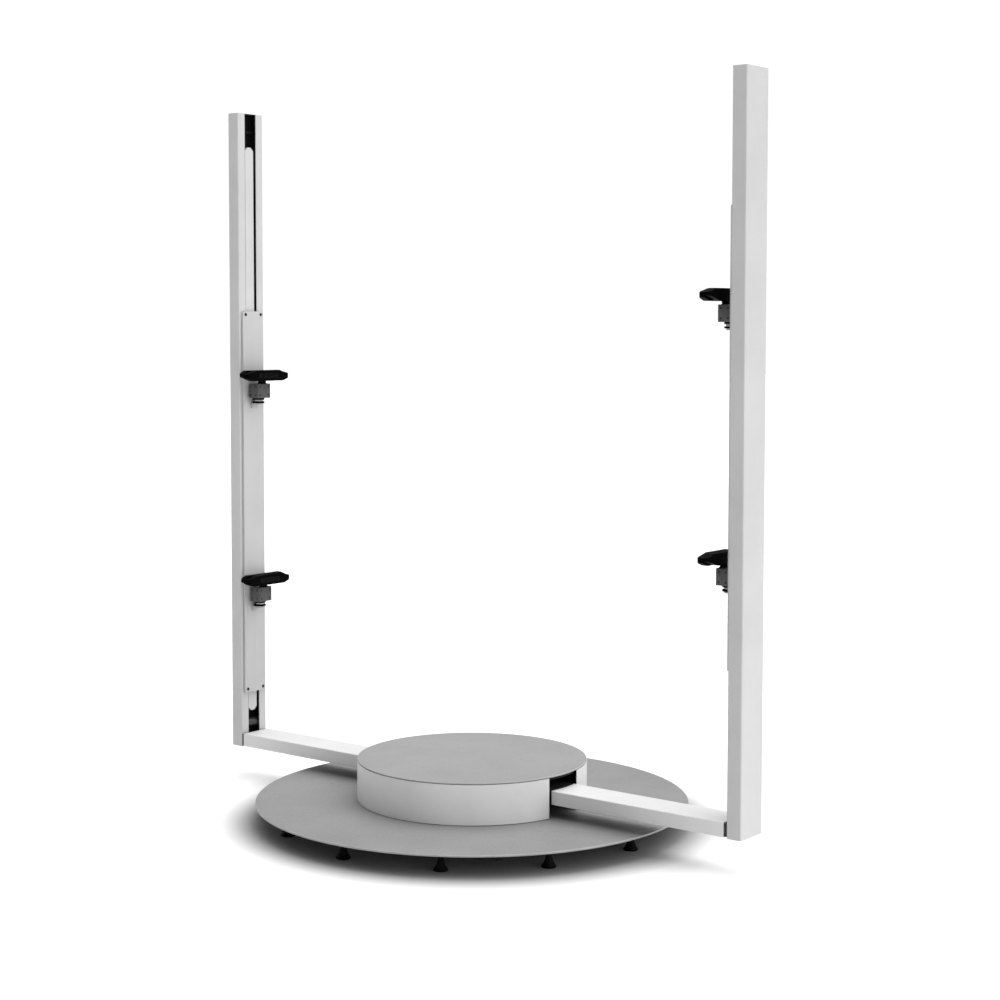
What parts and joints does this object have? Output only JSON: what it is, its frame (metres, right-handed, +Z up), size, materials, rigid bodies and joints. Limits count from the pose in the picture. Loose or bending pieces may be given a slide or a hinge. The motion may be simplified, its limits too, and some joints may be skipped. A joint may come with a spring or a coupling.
{
  "type": "rotating body scanner",
  "caption": "Round floor disc with a raised step, and a turning beam carrying two tall columns with height-adjustable depth cameras facing inwards.",
  "frame": {"origin": "on the floor under the arm's turning axis", "axes": "+Z up along the turning axis, +X along the beam towards the column whose cameras sit higher, +Y horizontal, across the beam"},
  "size_m": [1.68, 1.13, 1.8835],
  "materials": {
    "disc_paint": "satin grey powder paint",
    "dark_steel": "black powder paint",
    "rubber": "black rubber feet",
    "black_plastic": "fine-textured black",
    "bearing_steel": "ground steel",
    "brass": "turned",
    "screw_steel": "black-oxide screws",
    "skirt_paint": "satin white powder paint",
    "motor_black": "black",
    "frame_paint": "satin white powder paint",
    "rail_aluminium": "anodised",
    "belt_rubber": "black toothed belt",
    "pulley_aluminium": "anodised",
    "plate_paint": "satin white powder paint",
    "shelf_aluminium": "satin",
    "pan_black": "black anodised blocks",
    "sensor_black": "satin black",
    "sensor_lens": "dark gloss window"
  },
  "bodies": {
    "base": {"base_disc": "disc_paint", "base_ribs": "dark_steel", "levelling_feet": "rubber", "power_inlet": "black_plastic", "center_post": "dark_steel", "bearing_inner_ring": "bearing_steel", "sun_gear": "bearing_steel", "slip_ring": "brass", "post_screws": "screw_steel", "platform_frame": "dark_steel", "platform_top": "disc_paint"},
    "arm": {"bearing_outer_ring": "bearing_steel", "bearing_balls": "bearing_steel", "turntable": "dark_steel", "turntable_screws": "screw_steel", "front_skirt": "skirt_paint", "rear_skirt": "skirt_paint", "spin_motor": "motor_black", "brush_block": "black_plastic", "control_unit": "black_plastic", "joint_bolts": "screw_steel", "column_caps": "black_plastic", "idler_axles": "bearing_steel", "left_beam": "frame_paint", "left_joint_plug": "black_plastic", "left_column": "frame_paint", "left_rail": "rail_aluminium", "left_lift_motor": "motor_black", "left_belt": "belt_rubber", "right_beam": "frame_paint", "right_joint_plug": "black_plastic", "right_column": "frame_paint", "right_rail": "rail_aluminium", "right_lift_motor": "motor_black", "right_belt": "belt_rubber"},
    "spin_pinion": {"spin_pinion": "bearing_steel"},
    "left_carriage": {"left_carriage_plate": "plate_paint", "left_runners": "bearing_steel", "left_belt_clamp": "pulley_aluminium", "left_sensor_shelves": "shelf_aluminium"},
    "left_drive_pulley": {"left_drive_pulley": "pulley_aluminium"},
    "left_idler_pulley": {"left_idler_pulley": "pulley_aluminium"},
    "left_upper_pan": {"left_upper_pan_mount": "pan_black"},
    "left_upper_sensor": {"left_upper_sensor_housing": "sensor_black", "left_upper_sensor_window": "sensor_lens"},
    "left_lower_pan": {"left_lower_pan_mount": "pan_black"},
    "left_lower_sensor": {"left_lower_sensor_housing": "sensor_black", "left_lower_sensor_window": "sensor_lens"},
    "right_carriage": {"right_carriage_plate": "plate_paint", "right_runners": "bearing_steel", "right_belt_clamp": "pulley_aluminium", "right_sensor_shelves": "shelf_aluminium"},
    "right_drive_pulley": {"right_drive_pulley": "pulley_aluminium"},
    "right_idler_pulley": {"right_idler_pulley": "pulley_aluminium"},
    "right_upper_pan": {"right_upper_pan_mount": "pan_black"},
    "right_upper_sensor": {"right_upper_sensor_housing": "sensor_black", "right_upper_sensor_window": "sensor_lens"},
    "right_lower_pan": {"right_lower_pan_mount": "pan_black"},
    "right_lower_sensor": {"right_lower_sensor_housing": "sensor_black", "right_lower_sensor_window": "sensor_lens"}
  },
  "joints": [
    {"name": "arm_spin", "type": "hinge", "parent": "base", "child": "arm", "pos_m": [0, 0, 0.1], "axis": [0, 0, 1], "continuous": true},
    {"name": "spin_pinion_turn", "type": "hinge", "parent": "arm", "child": "spin_pinion", "pos_m": [0, 0.14, 0.06], "axis": [0, 0, 1], "continuous": true},
    {"name": "left_lift", "type": "slide", "parent": "arm", "child": "left_carriage", "axis": [0, 0, 1], "range_m": [-0.1, 0.54]},
    {"name": "left_drive_pulley_turn", "type": "hinge", "parent": "arm", "child": "left_drive_pulley", "pos_m": [-0.8205, -0.032, 0.1475], "axis": [0, 1, 0], "range_deg": [-2706, 506]},
    {"name": "left_idler_pulley_turn", "type": "hinge", "parent": "arm", "child": "left_idler_pulley", "pos_m": [-0.8205, -0.032, 1.8335], "axis": [0, 1, 0], "range_deg": [-2706, 506]},
    {"name": "left_upper_pan_turn", "type": "hinge", "parent": "left_carriage", "child": "left_upper_pan", "pos_m": [-0.774, 0, 1.124], "axis": [0, 0, 1], "range_deg": [-10, 10]},
    {"name": "left_upper_tilt", "type": "hinge", "parent": "left_upper_pan", "child": "left_upper_sensor", "pos_m": [-0.76, 0, 1.132], "axis": [0, 1, 0], "range_deg": [-20, 20]},
    {"name": "left_lower_pan_turn", "type": "hinge", "parent": "left_carriage", "child": "left_lower_pan", "pos_m": [-0.774, 0, 0.545], "axis": [0, 0, 1], "range_deg": [-10, 10]},
    {"name": "left_lower_tilt", "type": "hinge", "parent": "left_lower_pan", "child": "left_lower_sensor", "pos_m": [-0.76, 0, 0.553], "axis": [0, 1, 0], "range_deg": [-20, 20]},
    {"name": "right_lift", "type": "slide", "parent": "arm", "child": "right_carriage", "axis": [0, 0, 1], "range_m": [-0.34, 0.3]},
    {"name": "right_drive_pulley_turn", "type": "hinge", "parent": "arm", "child": "right_drive_pulley", "pos_m": [0.8205, 0.032, 0.1475], "axis": [0, 1, 0], "range_deg": [-1706, 1505]},
    {"name": "right_idler_pulley_turn", "type": "hinge", "parent": "arm", "child": "right_idler_pulley", "pos_m": [0.8205, 0.032, 1.8335], "axis": [0, 1, 0], "range_deg": [-1706, 1505]},
    {"name": "right_upper_pan_turn", "type": "hinge", "parent": "right_carriage", "child": "right_upper_pan", "pos_m": [0.774, 0, 1.338], "axis": [0, 0, 1], "range_deg": [-10, 10]},
    {"name": "right_upper_tilt", "type": "hinge", "parent": "right_upper_pan", "child": "right_upper_sensor", "pos_m": [0.76, 0, 1.346], "axis": [0, 1, 0], "range_deg": [-20, 20]},
    {"name": "right_lower_pan_turn", "type": "hinge", "parent": "right_carriage", "child": "right_lower_pan", "pos_m": [0.774, 0, 0.72], "axis": [0, 0, 1], "range_deg": [-10, 10]},
    {"name": "right_lower_tilt", "type": "hinge", "parent": "right_lower_pan", "child": "right_lower_sensor", "pos_m": [0.76, 0, 0.728], "axis": [0, 1, 0], "range_deg": [-20, 20]}
  ],
  "couplings": [
    {"joint": "spin_pinion_turn", "follows": "arm_spin", "ratio": 6},
    {"joint": "left_drive_pulley_turn", "follows": "left_lift", "rad_per_m": -87.266},
    {"joint": "left_idler_pulley_turn", "follows": "left_lift", "rad_per_m": -87.266},
    {"joint": "right_drive_pulley_turn", "follows": "right_lift", "rad_per_m": 87.266},
    {"joint": "right_idler_pulley_turn", "follows": "right_lift", "rad_per_m": 87.266}
  ]
}
